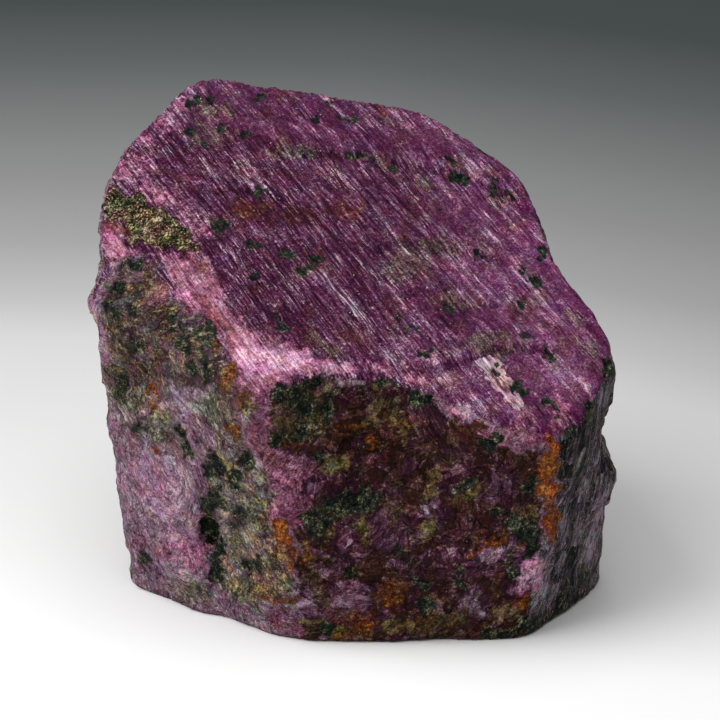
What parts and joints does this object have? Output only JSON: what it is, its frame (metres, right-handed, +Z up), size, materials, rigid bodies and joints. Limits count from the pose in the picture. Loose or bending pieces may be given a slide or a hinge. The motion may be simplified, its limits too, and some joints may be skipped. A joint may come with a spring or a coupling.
{
  "type": "ruby crystal",
  "caption": "Stout six-sided prism of natural opaque ruby on a flat broken base, with a slanting striated top face and mica patches on its walls.",
  "frame": {"origin": "bottom centre of the bounding box, on the flat broken base", "axes": "+X across the front to the right, +Y to the back, where the top face is highest, +Z up the prism"},
  "size_m": [0.1026, 0.0834, 0.0908],
  "materials": {
    "ruby": "opaque purple-red ruby with parallel striations, lilac worn edges, and dark green, olive and rust-brown mica"
  },
  "bodies": {
    "root": {"ruby_crystal": "ruby"}
  },
  "joints": []
}
